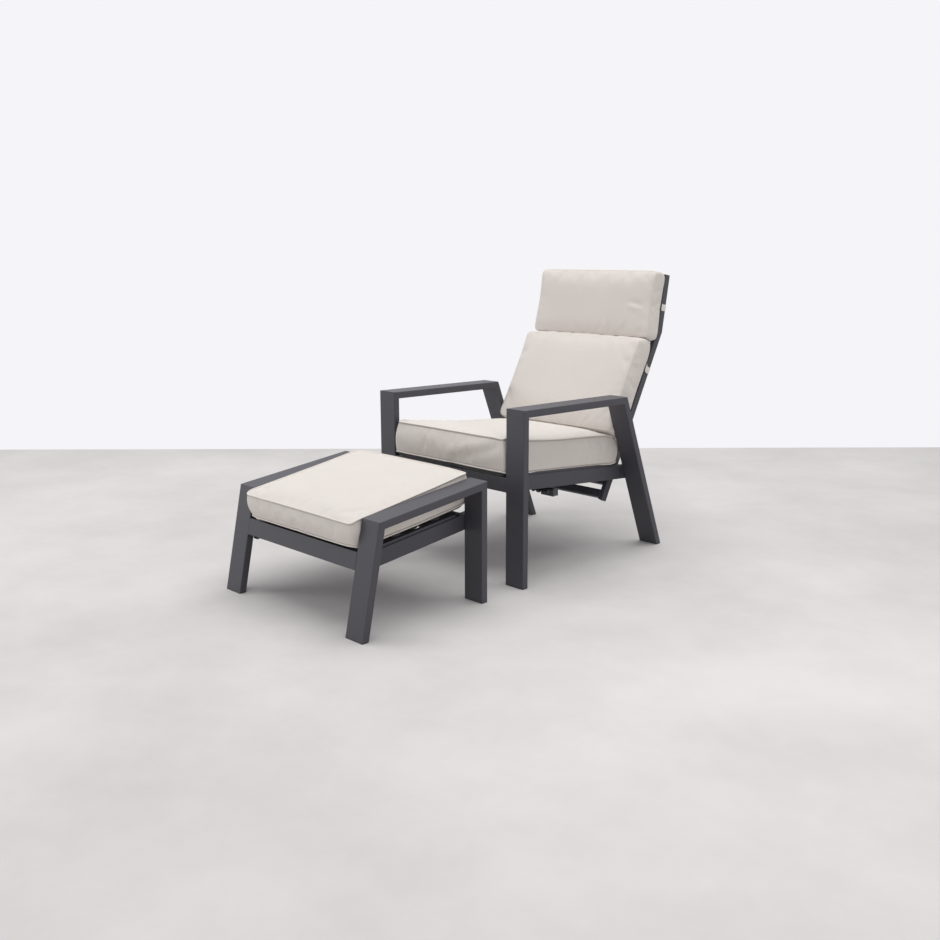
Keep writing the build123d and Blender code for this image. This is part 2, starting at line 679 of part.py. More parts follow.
def paddle():
    """The paddle under the near rail: a rounded grip, hollowed below, on a flat arm."""
    low_front = lever_axis + in_plane(paddle_near, -paddle_bottom)
    low_rear = lever_axis + in_plane(paddle_far, -paddle_bottom)
    high_rear = lever_axis + in_plane(paddle_far, paddle_rear_top)
    high_front = lever_axis + in_plane(paddle_near, paddle_top)
    grip = make_face(Polyline(spot(low_front), spot(low_rear), spot(high_rear), spot(high_front), close=True))
    grip = fillet(grip.vertices(), paddle_round)
    hollow = lever_axis + in_plane((paddle_near + paddle_far) / 2,
                                   -paddle_bottom - paddle_hollow_radius + paddle_hollow_depth)
    grip -= disc(hollow, paddle_hollow_radius)
    solid = cheek(grip, paddle_inner_face, paddle_outer_face)
    reach = lever_axis + in_plane((paddle_near + paddle_far) / 2, 0)
    arm = link(lever_axis, reach, paddle_boss_radius, paddle_round)
    solid += cheek(arm, paddle_inner_face, paddle_inner_face + paddle_arm_thickness)
    return solid - round_bar(lever_axis, paddle_inner_face - overrun, paddle_outer_face - paddle_arm_thickness,
                             lever_shaft_radius + lever_shaft_clearance)


# Cushions


def cushion_outline(base, face, half_width, base_bulge, crown):
    """Outline across a cushion between its base and face seams, with bulged sides and faces."""
    up = (face - base).normalized()
    middle = (base + face) / 2
    left = sideways * half_width
    side = sideways * (half_width + boxing_bulge)
    lower = ThreePointArc(base - left, base - up * base_bulge, base + left) if base_bulge else Line(
        base - left, base + left)
    near = ThreePointArc(base + left, middle + side, face + left)
    upper = ThreePointArc(face + left, face + up * crown, face - left)
    far = ThreePointArc(face - left, middle - side, base - left)
    return make_face([lower, near, upper, far])


def cushion(place, ends, thickness, seam, shares, tilt, widths, bulges):
    """A cushion lofted through outlines along its length, drawn in between its corners."""
    half_width, draw = widths
    base_bulge, crown = bulges
    start, end = ends
    origin = place(0, 0)
    along = (place(unit_length, 0) - origin).normalized()
    ahead = (place(0, unit_length) - origin).normalized()
    outlines = []
    for length_share, low_share, high_share, tilt_share, crown_share, draw_share in shares:
        lean = radians(tilt) * tilt_share
        outward = ahead * cos(lean) - along * sin(lean)
        face = place(start + (end - start) * length_share, seam + thickness * high_share)
        base = face - outward * (thickness * (high_share - low_share))
        narrow = half_width - boxing_bulge - draw * draw_share
        outlines.append(cushion_outline(base, face, narrow, base_bulge * crown_share, crown * crown_share))
    return loft(outlines, ruled=True)


def cushions():
    """The seat cushion, the two parts of the back cushion and the footstool's cushion."""
    resting = slat_thickness + cushion_clearance
    seat = cushion(seat_point, (seat_cushion_front, seat_cushion_rear), seat_cushion_thickness, resting,
                   seat_cushion_shares, 0, (seat_cushion_half_width, seat_cushion_draw),
                   (0, seat_cushion_crown))
    seam = stile_depth / 2 + cushion_clearance + back_cushion_rear_bulge
    back = cushion(back_point, (back_cushion_bottom, back_cushion_top), back_cushion_thickness, seam,
                   back_cushion_shares, back_lean_angle, (back_cushion_half_width, back_cushion_draw),
                   (back_cushion_rear_bulge, back_cushion_crown))
    head = cushion(head_point, (head_cushion_bottom, head_cushion_top), head_cushion_thickness, seam,
                   head_cushion_shares, head_lean_angle, (head_cushion_half_width, back_cushion_draw),
                   (back_cushion_rear_bulge, head_cushion_crown))
    stool = cushion(stool_point, (stool_cushion_front, stool_cushion_rear), stool_cushion_thickness,
                    stool_seam_height, stool_cushion_shares, 0,
                    (stool_cushion_half_width, stool_cushion_draw),
                    (stool_seam_height - resting, stool_cushion_crown))
    return {"seat_cushion": seat, "back_cushion": back, "head_cushion": head, "stool_cushion": stool}


# Footstool frame


def stool_frame():
    """The rails and slats between the footstool's loops."""
    pieces = {}
    leg_run = in_plane(stool_outer_corner - stool_outer_foot, stool_outer_height).normalized()
    inward = leg_run.cross(sideways)
    foot_place = in_plane(stool_outer_foot, 0)
    middle = foot_place + leg_run * (stool_front_rail_middle / leg_run.Z) + inward * (rail_thickness / 2)
    pieces["stool_front_rail"] = cross_tube(middle, inner_half_width, leg_run, rail_thickness,
                                            stool_front_rail_depth, rail_wall, tube_corner)
    front_cut = Plane(origin=middle + inward * (rail_thickness / 2), z_dir=-inward)
    rear_cut = Plane(origin=in_plane(stool_inner_face, 0), z_dir=in_plane(1, 0))
    stool_length = stool_inner_face - stool_outer_foot
    for side, word in ((1, "left"), (-1, "right")):
        x = side * (inner_half_width - rail_thickness / 2)
        start = stool_point(0, -rail_depth / 2, x)
        end = stool_point(stool_length, -rail_depth / 2, x)
        size = (sideways, rail_thickness, rail_depth)
        rail = tube(start, end, *size, rail_wall, tube_corner, [front_cut, rear_cut])
        inside_end = Plane(origin=rear_cut.origin - rear_cut.z_dir * rail_wall, z_dir=-rear_cut.z_dir)
        end_plate = Rectangle(rail_thickness - 2 * rail_wall, rail_depth - 2 * rail_wall)
        rail += bar(start, end, sideways, end_plate, [inside_end, rear_cut])
        pieces["stool_" + word + "_rail"] = rail
    middle = stool_point(stool_rear_rail_place, -rail_depth / 2)
    pieces["stool_rear_rail"] = cross_tube(middle, rail_inner_face, stool_up, rail_thickness,
                                           rail_depth, rail_wall, tube_corner)
    pieces["stool_slats"] = slats(stool_point, stool_up, stool_slat_first, stool_slat_last, stool_slat_count)
    return pieces


def all_pieces():
    """Every piece of the chair and the footstool, by name."""
    pieces = side_loops()
    pieces.update(seat_frame())
    pieces.update(back_frame())
    pieces.update(recline_pivot(1, "left"))
    pieces.update(recline_pivot(-1, "right"))
    pieces.update(gas_spring())
    pieces.update(release_lever())
    pieces.update(stool_frame())
    pieces.update(cushions())
    return pieces


def write_pieces(pieces):
    """Write each piece with the origin under the middle of the box round the whole set."""
    os.makedirs("parts", exist_ok=True)
    box = Compound(list(pieces.values())).bounding_box()
    shift = Vector(-box.center().X, -box.center().Y, -box.min.Z)
    for name, piece in pieces.items():
        export_step(Pos(shift) * piece, "parts/" + name + ".step")
    print("size", box.size)
    for label, point in (("recline pivot", in_plane(pivot_y, pivot_z)), ("front pin", front_pin),
                         ("rear pin", rear_pin), ("lever axis", lever_axis)):
        place = point + shift
        print(label, round(place.X, 3), round(place.Y, 3), round(place.Z, 3))
    print("spring axis", spring_axis, "length", round(spring_length, 3), "pieces", len(pieces))


write_pieces(all_pieces())
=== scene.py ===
import json
from math import atan2, cos, exp, pi, radians, sin, tanh

import bmesh
import bpy
from bpy.props import FloatProperty, FloatVectorProperty, IntProperty, PointerProperty
from mathutils import Matrix, Vector


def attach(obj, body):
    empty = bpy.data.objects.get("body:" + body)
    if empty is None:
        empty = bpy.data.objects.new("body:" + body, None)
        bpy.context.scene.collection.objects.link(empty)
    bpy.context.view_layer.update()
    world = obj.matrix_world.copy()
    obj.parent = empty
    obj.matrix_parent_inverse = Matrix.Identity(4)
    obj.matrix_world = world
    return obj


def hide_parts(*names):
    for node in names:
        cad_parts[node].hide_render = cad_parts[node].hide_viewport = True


bl_info = {
    "name": "Lounge chair with footstool",
    "version": (1, 0, 0),
    "blender": (4, 5, 0),
    "location": "3D View > Sidebar > Lounge chair",
    "description": "Cushions, straps and finishes of a reclining garden chair with a footstool",
    "category": "Object",
}

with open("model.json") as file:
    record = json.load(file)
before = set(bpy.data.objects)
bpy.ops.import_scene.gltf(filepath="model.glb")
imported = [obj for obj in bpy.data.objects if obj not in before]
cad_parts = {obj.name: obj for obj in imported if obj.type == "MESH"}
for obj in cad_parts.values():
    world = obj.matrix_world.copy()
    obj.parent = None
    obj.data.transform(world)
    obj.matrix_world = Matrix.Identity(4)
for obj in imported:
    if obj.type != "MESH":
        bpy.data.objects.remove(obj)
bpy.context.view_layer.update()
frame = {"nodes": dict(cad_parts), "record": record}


# Sizes of the frame that the soft pieces lie on, in metres

pivot = Vector(next(joint["pos_m"] for joint in frame["record"]["behaviour"]["joints"]
                    if joint["name"] == "back_recline"))
front_legs_behind_pivot = 0.626
seat_rail_height = 0.3719
seat_slope = radians(4.66)
stool_ahead = 0.65
stool_rail_height = 0.2283
stool_slope = radians(6.8)
back_lean = radians(28.1)
head_lean = radians(10.2)
stile_kink = 0.5754
stile_depth = 0.028
stile_width = 0.020
stile_outer_face = 0.252
cushion_clearance = 0.0004
slat_thickness = 0.009
slat_width = 0.045
slat_bar_inner_face = 0.26
rest_height = slat_thickness + cushion_clearance
back_rest_ahead = stile_depth / 2 + cushion_clearance
stool_seam_height = 0.027
back_seam_ahead = 0.0347
strap_gap = 0.0004
strap_bend = 0.003
strap_seam_place = 0.2685
strap_seam_ahead = 0.001
strap_sewn_length = 0.022
strap_sewn_behind = 0.0035

# Where the cloth lies free of its bed: distances over which it comes up to the rim, hangs down from
# a slat and hangs down from a side bar

rim_round = 0.014
slat_round = 0.006
bar_round = 0.014

# Shares of how the cushions' corners and sides are rounded

side_bulge_share = 0.4
face_corner_share = 0.6
corner_power = 14
corner_reach_share = 1 / 20
corner_end_share = 1 / 30

# Folds fade out over this many half widths, and a step's raised side is lifted by this factor

fold_reach = 3
step_gain = 1.6

# What the seam attribute holds away from the seams, and its start on seams without piping. The cloth is
# darkened with painted shade where this attribute is small, so the painted shade is lighter on seams without
# piping.

far_from_seam = 0.06
soft_seam_start = 0.0035

# How far piping and plain seams stand out of the cloth, as shares of their radius

piping_stand_share = 0.6
welt_stand_share = 0.1

# The floor, in metres: its drop under the feet, its far and near edges ahead of the camera and its
# half width

floor_drop = 0.0004
floor_far = 5.8
floor_near = -3.5
floor_half_width = 9.0


class Bed:
    """The plane that a cushion lies on, with its origin and its directions along and out of it."""

    def __init__(self, origin, along, out):
        self.origin = Vector(origin)
        self.along = Vector(along)
        self.out = Vector(out)

    def point(self, x, along, out):
        """A point by its place across, along and out of the plane."""
        return self.origin + Vector((x, 0, 0)) + self.along * along + self.out * out

    def matrix(self, x, along, out):
        """The turn and place of a piece modelled with X across, Y along and Z out of the plane."""
        turn = Matrix((Vector((1, 0, 0)), self.along, self.out)).transposed().to_4x4()
        return Matrix.Translation(self.point(x, along, out)) @ turn


front_y = pivot.y - front_legs_behind_pivot
seat_bed = Bed((0, front_y, seat_rail_height), (0, cos(seat_slope), -sin(seat_slope)),
               (0, sin(seat_slope), cos(seat_slope)))
stool_bed = Bed((0, front_y - stool_ahead, stool_rail_height), (0, cos(stool_slope), sin(stool_slope)),
                (0, -sin(stool_slope), cos(stool_slope)))
back_bed = Bed(pivot, (0, sin(back_lean), cos(back_lean)), (0, -cos(back_lean), sin(back_lean)))
head_bed = Bed(back_bed.point(0, stile_kink, 0), (0, sin(head_lean), cos(head_lean)),
               (0, -cos(head_lean), sin(head_lean)))

# Outlines along each cushion between its end seams: the share of its length, the shares of its
# thickness at the base and at the face, and the shares of the tilt, the crown and the draw
seat_shares = [
    (0.014, 0.08, 1.11, 0.0, 0.1, 0.05), (0.045, 0.02, 1.16, 0.0, 0.3, 0.1),
    (0.1, 0.0, 1.13, 0.0, 0.55, 0.3), (0.202, 0.0, 1.05, 0.0, 0.85, 0.6),
    (0.426, 0.0, 0.99, 0.0, 1.0, 1.0), (0.667, 0.0, 1.0, 0.0, 0.95, 1.0),
    (0.875, 0.0, 1.0, 0.0, 0.5, 0.6), (0.942, 0.0, 0.94, 0.0, 0.25, 0.2),
    (0.985, 0.08, 0.88, 0.0, 0.1, 0.1)]
back_shares = [
    (0.022, 0.08, 0.95, 0.0, 0.15, 0.1), (0.06, 0.02, 0.99, 0.0, 0.4, 0.1),
    (0.12, 0.0, 1.0, 0.0, 0.65, 0.2), (0.3, 0.0, 1.0, 0.0, 0.95, 0.7),
    (0.55, 0.0, 1.0, 0.0, 1.0, 1.0), (0.75, 0.0, 1.0, 0.06, 0.9, 0.8),
    (0.87, 0.0, 1.0, 0.3, 0.7, 0.4), (0.945, 0.06, 1.0, 0.62, 0.45, 0.15),
    (0.985, 0.2, 0.99, 0.78, 0.25, 0.1)]
head_shares = [
    (0.02, 0.1, 1.02, -0.4, 0.2, 0.1), (0.06, 0.04, 1.04, -0.3, 0.6, 0.1),
    (0.12, 0.01, 1.04, -0.2, 0.85, 0.15), (0.25, 0.0, 1.02, 0.0, 0.95, 0.4),
    (0.5, 0.0, 1.0, 0.0, 1.0, 1.0), (0.75, 0.0, 1.0, 0.0, 0.9, 0.8),
    (0.9, 0.0, 1.0, 0.0, 0.6, 0.3), (0.96, 0.04, 0.96, 0.0, 0.35, 0.1),
    (0.985, 0.12, 0.9, 0.0, 0.12, 0.1)]
stool_shares = [
    (0.02, 0.08, 0.86, 0.0, 0.15, 0.05), (0.05, 0.02, 0.93, 0.0, 0.4, 0.1),
    (0.12, 0.0, 0.95, 0.0, 0.65, 0.1), (0.3, 0.0, 0.98, 0.0, 0.95, 0.0),
    (0.5, 0.0, 1.02, 0.0, 1.0, 0.0), (0.7, 0.02, 1.06, 0.0, 1.0, 0.0),
    (0.88, 0.05, 1.11, 0.0, 1.0, 0.0), (0.955, 0.1, 1.13, 0.0, 0.7, 0.05),
    (0.985, 0.16, 1.1, 0.0, 0.4, 0.05)]

# Folds of the cloth, in metres across, along and up from the middle of the cushion: the two ends of
# the fold, its half width, its rise, and for a step the direction of its raised side
seat_folds = [
    ((0.03, -0.31, -0.028), (0.235, -0.31, 0.03), 0.022, 0.0065, (-0.3, 0, 0.95)),
    ((0.255, -0.31, 0.02), (0.228, -0.31, -0.034), 0.012, 0.003, None)]
stool_folds = [
    ((-0.006, -0.24, -0.04), (-0.009, -0.24, -0.008), 0.009, -0.0045, None)]
head_folds = [
    ((0.276, -0.02, 0.02), (0.2, -0.005, 0.05), 0.013, 0.005, (0, -0.95, -0.3))]

# Each cushion: its bed, the places of its ends along it, its sizes across, through and at the seam,
# how far it is crowned, drawn in, bulged and tucked, its slats (first place, pitch and number), the
# sag between them, its cells and how sharp its seams are
cushion_forms = {
    "seat_cushion": {
        "bed": seat_bed, "ends": (-0.016, 0.626), "half_width": 0.275, "thickness": 0.104,
        "seam": rest_height, "tilt": 0, "crown": 0.025, "draw": 0.006, "base_bulge": 0,
        "slats": (0.031, 0.086, 7), "sag": 0.015, "rests_from": -0.007, "pinch": 0.005,
        "shares": seat_shares, "body": "chair", "cells": (46, 52, 8), "roundness": 3.2,
        "bulge": 0.005, "tuck": -0.006, "corner": 0.004, "sharp": 1.0, "folds": seat_folds},
    "back_cushion": {
        "bed": back_bed, "ends": (0.1072, 0.4862), "half_width": 0.284, "thickness": 0.1055,
        "seam": back_seam_ahead, "tilt": back_lean, "crown": 0.012, "draw": 0.005,
        "base_bulge": back_seam_ahead - back_rest_ahead, "shares": back_shares, "body": "back",
        "cells": (46, 32, 9), "roundness": 2, "bulge": 0.004, "tuck": 0.014, "corner": 0.004,
        "sharp": 0.2, "slats": None, "pinch": 0, "folds": []},
    "head_cushion": {
        "bed": head_bed, "ends": (-0.0415, 0.2179), "half_width": 0.285, "thickness": 0.0866,
        "seam": back_seam_ahead, "tilt": head_lean, "crown": 0.013, "draw": 0.005,
        "base_bulge": back_seam_ahead - back_rest_ahead, "shares": head_shares, "body": "back",
        "cells": (46, 22, 8), "roundness": 2, "bulge": 0.004, "tuck": 0.015, "corner": 0.004,
        "sharp": 0.2, "slats": None, "pinch": 0, "folds": head_folds},
    "stool_cushion": {
        "bed": stool_bed, "ends": (0.003, 0.502), "half_width": 0.279, "thickness": 0.09,
        "seam": stool_seam_height, "tilt": 0, "crown": 0.02, "draw": 0.006,
        "base_bulge": stool_seam_height - rest_height, "shares": stool_shares,
        "body": "footstool", "cells": (46, 40, 8), "roundness": 4, "bulge": 0.004,
        "tuck": 0.003, "corner": 0.007, "sharp": 1.0, "slats": (0.052, 0.082, 5), "sag": 0.016,
        "rests_from": 0.041, "pinch": 0, "folds": stool_folds},
}


class CoatingSettings(bpy.types.PropertyGroup):
    """Finishes of the metal and plastic pieces"""

    powder_colour: FloatVectorProperty(name="Powder coat", description="Colour of the coated tubes",
                                       default=(0.052, 0.051, 0.062), size=3, min=0, max=1, subtype="COLOR")
    powder_roughness: FloatProperty(name="Coat roughness", description="How dull the powder coat is",
                                    default=0.5, min=0.05, max=1, subtype="FACTOR")
    grain_size: FloatProperty(name="Grain", description="Width of one grain of the powder coat",
                              default=0.0012, min=0.0002, max=0.01, unit="LENGTH")
    plastic_colour: FloatVectorProperty(name="Plastic", description="Colour of feet, caps and paddle",
                                        default=(0.03, 0.03, 0.033), size=3, min=0, max=1, subtype="COLOR")


class FabricSettings(bpy.types.PropertyGroup):
    """Cloth of the cushions and their piping"""

    colour: FloatVectorProperty(name="Cloth", description="Colour of the cushion fabric",
                                default=(0.81, 0.755, 0.708), size=3, min=0, max=1, subtype="COLOR")
    # The underside colour is painted shade: near-black on the base panels of the seat and footstool cushions,
    # where there is only shade under them.
    underside_shade_colour: FloatVectorProperty(name="Underside", description="Colour of the shaded cloth "
                                          "under the cushions that lie flat", default=(0.03, 0.029, 0.03),
                                          size=3, min=0, max=1, subtype="COLOR")
    yarn: FloatProperty(name="Yarn", description="Width of one yarn of the weave", default=0.0011,
                        min=0.0003, max=0.01, unit="LENGTH")
    piping_radius: FloatProperty(name="Piping", description="Radius of the piping on the seams",
                                 default=0.0025, min=0.001, max=0.008, unit="LENGTH")
    welt_radius: FloatProperty(name="Welt", description="Radius of the seams of the back cushions",
                               default=0.0011, min=0.0005, max=0.004, unit="LENGTH")


class FillingSettings(bpy.types.PropertyGroup):
    """How the cushions are filled"""

    pressure: FloatProperty(name="Pressure", description="Pressure of the filling on the cloth",
                            default=4, min=0, max=20)
    swell_limit: FloatProperty(name="Swell limit", description="How far the cloth may swell outwards",
                               default=0.009, min=0, max=0.03, unit="LENGTH")
    start_share: FloatProperty(name="Start", description="Share of the crown before the filling goes in",
                               default=0.55, min=0, max=1, subtype="FACTOR")
    last_frame: IntProperty(name="Last frame", description="Frame at which the filling has settled",
                            default=20, min=2, max=60)


class StrapSettings(bpy.types.PropertyGroup):
    """Straps that hold the back cushions to the stiles"""

    width: FloatProperty(name="Width", description="Width of the strap", default=0.025, min=0.01,
                         max=0.05, unit="LENGTH")
    thickness: FloatProperty(name="Thickness", description="Thickness of the strap", default=0.0014,
                             min=0.0005, max=0.004, unit="LENGTH")
    lower_place: FloatProperty(name="Lower place", description="Height of the lower straps up the stile",
                               default=0.4132, min=0.1, max=0.55, unit="LENGTH")
    upper_place: FloatProperty(name="Upper place", description="Height of the upper straps above the bend",
                               default=0.0906, min=0, max=0.2, unit="LENGTH")


class StageSettings(bpy.types.PropertyGroup):
    """Floor, backdrop, lamps and camera"""

    floor_colour: FloatVectorProperty(name="Floor", description="Colour of the concrete floor",
                                      default=(0.643, 0.623, 0.618), size=3, min=0, max=1, subtype="COLOR")
    wall_colour: FloatVectorProperty(name="Wall", description="Colour behind the floor",
                                     default=(0.915, 0.905, 0.935), size=3, min=0, max=1, subtype="COLOR")
    sky_light: FloatProperty(name="Room light", description="Strength of the light from all round",
                             default=0.46, min=0, max=4)
    ceiling_power: FloatProperty(name="Ceiling lamp", description="Power of the large lamp overhead",
                                 default=288, min=0, max=2000, unit="POWER")
    left_power: FloatProperty(name="Left lamp", description="Power of the low lamp at the left of the camera",
                              default=43, min=0, max=2000, unit="POWER")
    right_power: FloatProperty(name="Right lamp", description="Power of the lamp at the right of the chair",
                               default=9, min=0, max=2000, unit="POWER")
    camera_place: FloatVectorProperty(name="Camera", description="Place of the camera",
                                      default=(2.5629, front_y - 2.4442, 1.1128), size=3,
                                      subtype="TRANSLATION", unit="LENGTH")
    camera_heading: FloatProperty(name="Heading", description="Turn of the camera about the vertical",
                                  default=radians(45.082), subtype="ANGLE", unit="ROTATION")
    camera_pitch: FloatProperty(name="Pitch", description="How far the camera looks down",
                                default=radians(12.062), subtype="ANGLE", unit="ROTATION")
    camera_roll: FloatProperty(name="Roll", description="Roll of the camera",
                               default=radians(-0.145), subtype="ANGLE", unit="ROTATION")
    lens: FloatProperty(name="Lens", description="Focal length of the camera in millimetres",
                        default=39.486, min=10, max=200)


class LoungeChairSettings(bpy.types.PropertyGroup):
    """All settings of the lounge chair"""

    coating: PointerProperty(type=CoatingSettings)
    fabric: PointerProperty(type=FabricSettings)
    filling: PointerProperty(type=FillingSettings)
    straps: PointerProperty(type=StrapSettings)
    stage: PointerProperty(type=StageSettings)


class Signal:
    """A number on a shader socket that adds a Math node when it is calculated with."""

    def __init__(self, shader, socket):
        self.shader = shader
        self.socket = socket

    def math(self, operation, first, second=0.0):
        return self.shader.node("ShaderNodeMath", {"operation": operation}, {0: first, 1: second})

    def __add__(self, other):
        return self.math("ADD", self, other)

    def __sub__(self, other):
        return self.math("SUBTRACT", self, other)

    def __rsub__(self, other):
        return self.math("SUBTRACT", other, self)

    def __mul__(self, other):
        return self.math("MULTIPLY", self, other)

    def __gt__(self, other):
        return self.math("GREATER_THAN", self, other)

    def __abs__(self):
        return self.math("ABSOLUTE", self)

    __radd__ = __add__
    __rmul__ = __mul__

    def sine(self):
        return self.math("SINE", self)

    def power(self, exponent):
        return self.math("POWER", self, exponent)

    def larger(self, other):
        return self.math("MAXIMUM", self, other)

    def ramp(self, low, high):
        """0 at low, 1 at high and even between."""
        return self.shader.node("ShaderNodeMapRange", {"clamp": True}, {0: self, 1: low, 2: high})


class Shader:
    """A material or a world whose nodes are added from values and signals."""

    def __init__(self, tree):
        self.tree = tree
        tree.nodes.clear()

    def node(self, kind, settings=None, values=None, output=0):
        """Add a node with its settings first and then its values or links, and give one output."""
        made = self.tree.nodes.new(kind)
        for name, value in (settings or {}).items():
            setattr(made, name, value)
        for name, value in (values or {}).items():
            if isinstance(value, Signal):
                self.tree.links.new(value.socket, made.inputs[name])
            else:
                made.inputs[name].default_value = value
        return Signal(self, made.outputs[output])

    def place(self, scale=(1, 1, 1)):
        """Object coordinates, stretched by a scale."""
        place = self.node("ShaderNodeTexCoord", output="Object")
        return self.node("ShaderNodeMapping", {"vector_type": "POINT"}, {"Vector": place, "Scale": scale})

    def noise(self, place, scale, detail=2.0, roughness=0.5):
        return self.node("ShaderNodeTexNoise", values={
            "Vector": place, "Scale": scale, "Detail": detail, "Roughness": roughness})

    def blend(self, share, first, second):
        """A colour between two colours."""
        return self.node("ShaderNodeMix", {"data_type": "RGBA"}, {0: share, 6: first, 7: second}, output=2)

    def bump(self, height, distance, strength=1.0, normal=None):
        values = {"Strength": strength, "Distance": distance, "Height": height}
        if normal:
            values["Normal"] = normal
        return self.node("ShaderNodeBump", values=values)

    def surface(self, **values):
        """The main shader, from its sockets' names with underscores for spaces, and its output."""
        sockets = {name.replace("_", " "): value for name, value in values.items()}
        made = self.node("ShaderNodeBsdfPrincipled", values=sockets, output="BSDF")
        self.node_output("ShaderNodeOutputMaterial", made)

    def node_output(self, kind, shader):
        """Add the output node and link a shader to it."""
        made = self.tree.nodes.new(kind)
        self.tree.links.new(shader.socket, made.inputs["Surface"])


def new_shader(name):
    """A new material and the shader that fills it."""
    material = bpy.data.materials.new(name)
    material.use_nodes = True
    return material, Shader(material.node_tree)


def opaque(colour, factor=1.0):
    """A colour with its alpha, lightened or darkened by a factor."""
    return tuple(channel * factor for channel in colour[:3]) + (1.0,)


def powder_coat(coating):
    """Fine-grained matt powder coat with faint rub marks."""
    material, shader = new_shader("anthracite_powder_coat")
    place = shader.place()
    grain = shader.noise(place, 1 / coating.grain_size, roughness=0.6)
    cloud = shader.noise(place, 7.0, detail=3.0, roughness=0.55)
    rub = shader.noise(place, 38.0, detail=5.0, roughness=0.7).ramp(0.62, 0.75)
    share = cloud * 0.6 + grain * 0.4
    colour = shader.blend(share, opaque(coating.powder_colour, 0.86), opaque(coating.powder_colour, 1.14))
    colour = shader.blend(rub * 0.12, colour, opaque(coating.powder_colour, 1.8))
    roughness = coating.powder_roughness - 0.05 + cloud * 0.1 - rub * 0.08
    shader.surface(Base_Color=colour, Roughness=roughness,
                   Normal=shader.bump(grain, distance=0.0002, strength=0.5))
    return material


def black_plastic(coating):
    """Moulded plastic with a fine spark-eroded grain."""
    material, shader = new_shader("black_plastic")
    place = shader.place()
    grain = shader.noise(place, 1600.0)
    cloud = shader.noise(place, 25.0, detail=3.0, roughness=0.6)
    colour = shader.blend(cloud, opaque(coating.plastic_colour, 0.8), opaque(coating.plastic_colour, 1.3))
    shader.surface(Base_Color=colour, Roughness=0.48 + cloud * 0.16,
                   Normal=shader.bump(grain, distance=0.00015, strength=0.5))
    return material


def chromed_rod():
    """Ground and chromed steel, with fine rings round the rod."""
    material, shader = new_shader("chromed_rod")
    fine = shader.noise(shader.place(scale=(1, 60, 60)), 40.0)
    shader.surface(Base_Color=opaque((0.72, 0.72, 0.73)), Metallic=1.0, Roughness=0.1 + fine * 0.14,
                   Normal=shader.bump(fine, distance=0.00004, strength=0.4))
    return material


def black_steel():
    """Satin black paint on steel, thin where it is handled."""
    material, shader = new_shader("black_steel")
    place = shader.place()
    cloud = shader.noise(place, 60.0, detail=4.0, roughness=0.6)
    worn = shader.noise(place, 240.0, detail=4.0, roughness=0.7).ramp(0.64, 0.72)
    colour = shader.blend(worn * 0.3, opaque((0.032, 0.032, 0.034)), opaque((0.16, 0.16, 0.16)))
    shader.surface(Base_Color=colour, Roughness=0.32 + cloud * 0.16,
                   Normal=shader.bump(cloud, distance=0.0001, strength=0.3))
    return material


def zinc_steel():
    """Zinc-plated fasteners with a faint cloudy sheen."""
    material, shader = new_shader("zinc_steel")
    cloud = shader.noise(shader.place(), 320.0, detail=3.0, roughness=0.6)
    colour = shader.blend(cloud, opaque((0.48, 0.48, 0.5)), opaque((0.66, 0.66, 0.67)))
    shader.surface(Base_Color=colour, Metallic=1.0, Roughness=0.3 + cloud * 0.2,
                   Normal=shader.bump(cloud, distance=0.00005, strength=0.4))
    return material


def cushion_cloth(fabric):
    """Plain-weave outdoor cloth from mixed pale yarns, laid along each panel by its UV map."""
    material, shader = new_shader("woven_cushion_cloth")
    panel = shader.node("ShaderNodeUVMap", {"uv_map": "panel"})
    parts = [shader.node("ShaderNodeSeparateXYZ", values={0: panel}, output=axis) for axis in range(2)]
    across, along = parts
    warp = (across * (pi / fabric.yarn)).sine()
    weft = (along * (pi / fabric.yarn)).sine()
    over = (warp * weft) > 0
    crossing = abs(warp) * over + abs(weft) * (1 - over)
    streak = [shader.noise(shader.node("ShaderNodeMapping", values={"Vector": panel, "Scale": scale}),
                           1.0, roughness=0.6)
              for scale in ((1 / fabric.yarn, 30, 1), (30, 1 / fabric.yarn, 1))]
    yarns = streak[0] * over + streak[1] * (1 - over)
    cloud = shader.noise(shader.place(), 9.0, detail=3.0, roughness=0.55)
    share = yarns.ramp(0.3, 0.7) * 0.65 + cloud * 0.35
    colour = shader.blend(share, opaque(fabric.colour, 0.9), opaque(fabric.colour, 1.08))
    colour = shader.blend(crossing.power(0.6), opaque(fabric.colour, 0.72), colour)
    # Painted shade along the seams: within 6.5 mm of a seam the cloth darkens, to about half its colour right
    # at the seam.
    seam = shader.node("ShaderNodeAttribute", {"attribute_name": "seam"}, output="Fac")
    colour = shader.blend(seam.ramp(0.0015, 0.0065) * 0.5 + 0.5, opaque(fabric.colour, 0.1), colour)
    # Painted shade under the cushions that lie on slats: their base panels take the near-black underside
    # colour in place of the cloth's colour.
    underside = shader.node("ShaderNodeAttribute", {"attribute_name": "underside"}, output="Fac")
    colour = shader.blend(underside.ramp(0.03, 0.12), colour, opaque(fabric.underside_shade_colour))
    slack = shader.bump(cloud, distance=0.004, strength=0.35)
    shader.surface(Base_Color=colour, Roughness=0.85 + yarns * 0.1, Sheen_Weight=0.15,
                   Sheen_Roughness=0.5,
                   Normal=shader.bump(crossing, distance=0.00035, strength=0.6, normal=slack))
    return material


def piping_cloth(fabric):
    """The cushion cloth cut on the bias and drawn tight round a cord."""
    material, shader = new_shader("piping_fabric")
    place = shader.place()
    yarns = shader.noise(place, 1 / fabric.yarn, roughness=0.6)
    cloud = shader.noise(place, 12.0)
    colour = shader.blend(yarns * 0.7 + cloud * 0.3, opaque(fabric.colour, 0.88),
                          opaque(fabric.colour, 1.06))
    shader.surface(Base_Color=colour, Roughness=0.88, Sheen_Weight=0.15, Sheen_Roughness=0.5,
                   Normal=shader.bump(yarns, distance=0.0003, strength=0.6))
    return material


